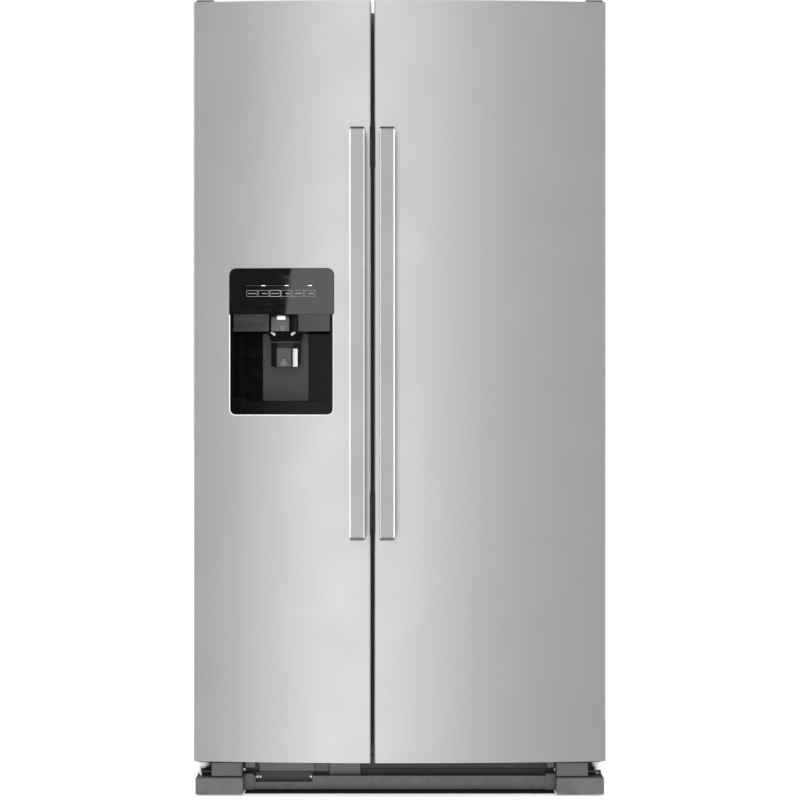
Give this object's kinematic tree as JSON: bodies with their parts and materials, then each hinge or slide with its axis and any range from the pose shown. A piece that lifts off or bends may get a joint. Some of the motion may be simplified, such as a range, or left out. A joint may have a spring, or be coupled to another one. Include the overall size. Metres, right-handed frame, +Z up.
{
  "type": "side by side refrigerator",
  "caption": "Side-by-side refrigerator with curved stainless doors, long bar handles and an ice and water dispenser in the freezer door.",
  "frame": {"origin": "bottom centre of the whole object's box, on the floor", "axes": "+Z up, -Y towards the user (door fronts), +X to the user's right when facing the doors"},
  "size_m": [0.907, 0.854, 1.7702],
  "materials": {
    "stainless": "satin",
    "handle_metal": "satin",
    "cabinet_paint": "satin",
    "hinge_steel": "satin",
    "frame_steel": "matte",
    "machine_black": "satin",
    "dark_plastic": "matte",
    "white_plastic": "matte",
    "liner_plastic": "satin",
    "clear_plastic": "gloss",
    "shelf_glass": "gloss",
    "foam": "matte",
    "gasket": "matte",
    "black_rubber": "matte",
    "dispenser_black": "gloss",
    "pad_grey": "satin"
  },
  "bodies": {
    "cabinet": {"cabinet_shell": "cabinet_paint", "back_panel": "cabinet_paint", "upper_hinge_left": "hinge_steel", "upper_hinge_right": "hinge_steel", "lower_hinge_left": "hinge_steel", "lower_hinge_right": "hinge_steel", "base_frame": "frame_steel", "compressor": "machine_black", "condenser_coil": "machine_black", "evaporator_coil": "machine_black", "fan_motor": "machine_black", "base_grille": "dark_plastic", "foot_cover_left": "dark_plastic", "foot_cover_right": "dark_plastic", "hinge_cover_left": "dark_plastic", "hinge_cover_right": "dark_plastic", "service_cover": "white_plastic", "water_valve": "white_plastic", "light_housing": "white_plastic", "freezer_liner": "liner_plastic", "fridge_liner": "liner_plastic", "evaporator_cover": "liner_plastic", "ice_maker": "liner_plastic", "fridge_shelf_upper": "shelf_glass", "fridge_shelf_lower": "shelf_glass", "crisper_cover": "shelf_glass", "freezer_shelf": "shelf_glass", "cabinet_foam": "foam", "levelling_foot_left": "black_rubber", "levelling_foot_right": "black_rubber"},
    "freezer_door": {"freezer_door_skin": "stainless", "freezer_door_foam": "foam", "freezer_door_liner": "liner_plastic", "freezer_door_gasket": "gasket", "freezer_door_handle": "handle_metal", "freezer_door_bin": "clear_plastic", "dispenser_housing": "dispenser_black", "control_panel": "dispenser_black"},
    "fridge_door": {"fridge_door_skin": "stainless", "fridge_door_foam": "foam", "fridge_door_liner": "liner_plastic", "fridge_door_gasket": "gasket", "fridge_door_handle": "handle_metal", "fridge_door_bin_lower": "clear_plastic", "fridge_door_bin_upper": "clear_plastic"},
    "crisper_drawer_upper": {"crisper_drawer_upper": "clear_plastic"},
    "crisper_drawer_lower": {"crisper_drawer_lower": "clear_plastic"},
    "freezer_basket": {"freezer_basket": "clear_plastic"},
    "ice_bin": {"ice_bin": "clear_plastic"},
    "condenser_fan": {"condenser_fan": "dark_plastic"},
    "rear_roller_left": {"rear_roller_left": "black_rubber"},
    "rear_roller_right": {"rear_roller_right": "black_rubber"},
    "water_pad": {"water_pad": "pad_grey"},
    "ice_pad": {"ice_pad": "pad_grey"},
    "control_key_1": {"control_key_1": "dispenser_black"},
    "control_key_2": {"control_key_2": "dispenser_black"},
    "control_key_3": {"control_key_3": "dispenser_black"},
    "control_key_4": {"control_key_4": "dispenser_black"},
    "control_key_5": {"control_key_5": "dispenser_black"},
    "control_key_6": {"control_key_6": "dispenser_black"}
  },
  "joints": [
    {"name": "freezer_door_hinge", "type": "hinge", "parent": "cabinet", "child": "freezer_door", "pos_m": [-0.4355, -0.305, 0.9], "axis": [0, 0, -1], "range_deg": [0, 120]},
    {"name": "fridge_door_hinge", "type": "hinge", "parent": "cabinet", "child": "fridge_door", "pos_m": [0.4355, -0.305, 0.9], "axis": [0, 0, 1], "range_deg": [0, 120]},
    {"name": "crisper_drawer_upper_slide", "type": "slide", "parent": "cabinet", "child": "crisper_drawer_upper", "axis": [0, -1, 0], "range_m": [0, 0.2094]},
    {"name": "crisper_drawer_lower_slide", "type": "slide", "parent": "cabinet", "child": "crisper_drawer_lower", "axis": [0, -1, 0], "range_m": [0, 0.2094]},
    {"name": "freezer_basket_slide", "type": "slide", "parent": "cabinet", "child": "freezer_basket", "axis": [0, -1, 0], "range_m": [0, 0.2094]},
    {"name": "ice_bin_slide", "type": "slide", "parent": "cabinet", "child": "ice_bin", "axis": [0, -1, 0], "range_m": [0, 0.1047]},
    {"name": "condenser_fan_spin", "type": "hinge", "parent": "cabinet", "child": "condenser_fan", "pos_m": [-0.03, 0.2885, 0.1513], "axis": [0, -1, 0], "continuous": true},
    {"name": "rear_roller_left_spin", "type": "hinge", "parent": "cabinet", "child": "rear_roller_left", "pos_m": [-0.414, 0.357, 0.022], "axis": [1, 0, 0], "continuous": true},
    {"name": "rear_roller_right_spin", "type": "hinge", "parent": "cabinet", "child": "rear_roller_right", "pos_m": [0.414, 0.357, 0.022], "axis": [1, 0, 0], "continuous": true},
    {"name": "water_pad_hinge", "type": "hinge", "parent": "freezer_door", "child": "water_pad", "pos_m": [-0.26388, -0.3337, 1.0545], "axis": [0.9987, -0.0503, 0], "range_deg": [0, 12], "stiffness_Nm_per_rad": 0.5},
    {"name": "ice_pad_hinge", "type": "hinge", "parent": "freezer_door", "child": "ice_pad", "pos_m": [-0.25683, -0.31303, 0.986], "axis": [0.9987, -0.0503, 0], "range_deg": [0, 12], "stiffness_Nm_per_rad": 0.5},
    {"name": "control_key_1_press", "type": "slide", "parent": "freezer_door", "child": "control_key_1", "axis": [0.0503, 0.9987, 0], "range_m": [0, 0.0008], "stiffness_N_per_m": 800},
    {"name": "control_key_2_press", "type": "slide", "parent": "freezer_door", "child": "control_key_2", "axis": [0.0503, 0.9987, 0], "range_m": [0, 0.0008], "stiffness_N_per_m": 800},
    {"name": "control_key_3_press", "type": "slide", "parent": "freezer_door", "child": "control_key_3", "axis": [0.0503, 0.9987, 0], "range_m": [0, 0.0008], "stiffness_N_per_m": 800},
    {"name": "control_key_4_press", "type": "slide", "parent": "freezer_door", "child": "control_key_4", "axis": [0.0503, 0.9987, 0], "range_m": [0, 0.0008], "stiffness_N_per_m": 800},
    {"name": "control_key_5_press", "type": "slide", "parent": "freezer_door", "child": "control_key_5", "axis": [0.0503, 0.9987, 0], "range_m": [0, 0.0008], "stiffness_N_per_m": 800},
    {"name": "control_key_6_press", "type": "slide", "parent": "freezer_door", "child": "control_key_6", "axis": [0.0503, 0.9987, 0], "range_m": [0, 0.0008], "stiffness_N_per_m": 800}
  ],
  "couplings": [
    {"joint": "crisper_drawer_upper_slide", "follows": "fridge_door_hinge", "m_per_rad": 0.1},
    {"joint": "crisper_drawer_lower_slide", "follows": "fridge_door_hinge", "m_per_rad": 0.1},
    {"joint": "freezer_basket_slide", "follows": "freezer_door_hinge", "m_per_rad": 0.1},
    {"joint": "ice_bin_slide", "follows": "freezer_door_hinge", "m_per_rad": 0.05}
  ]
}
